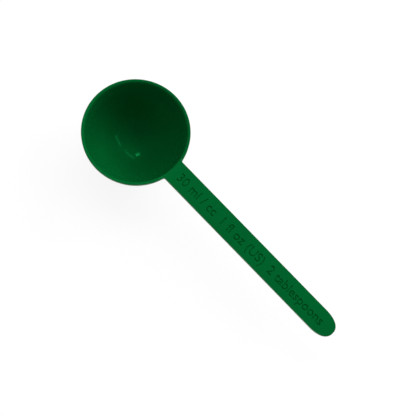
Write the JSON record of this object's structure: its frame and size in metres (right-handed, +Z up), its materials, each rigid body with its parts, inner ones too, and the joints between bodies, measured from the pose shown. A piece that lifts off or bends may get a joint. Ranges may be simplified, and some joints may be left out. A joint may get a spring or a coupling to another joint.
{
  "type": "measuring scoop",
  "caption": "Round measuring scoop with a deep bowl, a thin lip and a long flat strip handle, for spooning out and levelling dry powder.",
  "frame": {"origin": "middle of the bowl's flat foot", "axes": "+Z up out of the mouth, with the lip level; +X out along the handle"},
  "size_m": [0.1462, 0.048, 0.029],
  "materials": {
    "green_plastic": "satin"
  },
  "bodies": {
    "root": {"bowl": "green_plastic", "rim": "green_plastic", "handle": "green_plastic"}
  },
  "joints": []
}
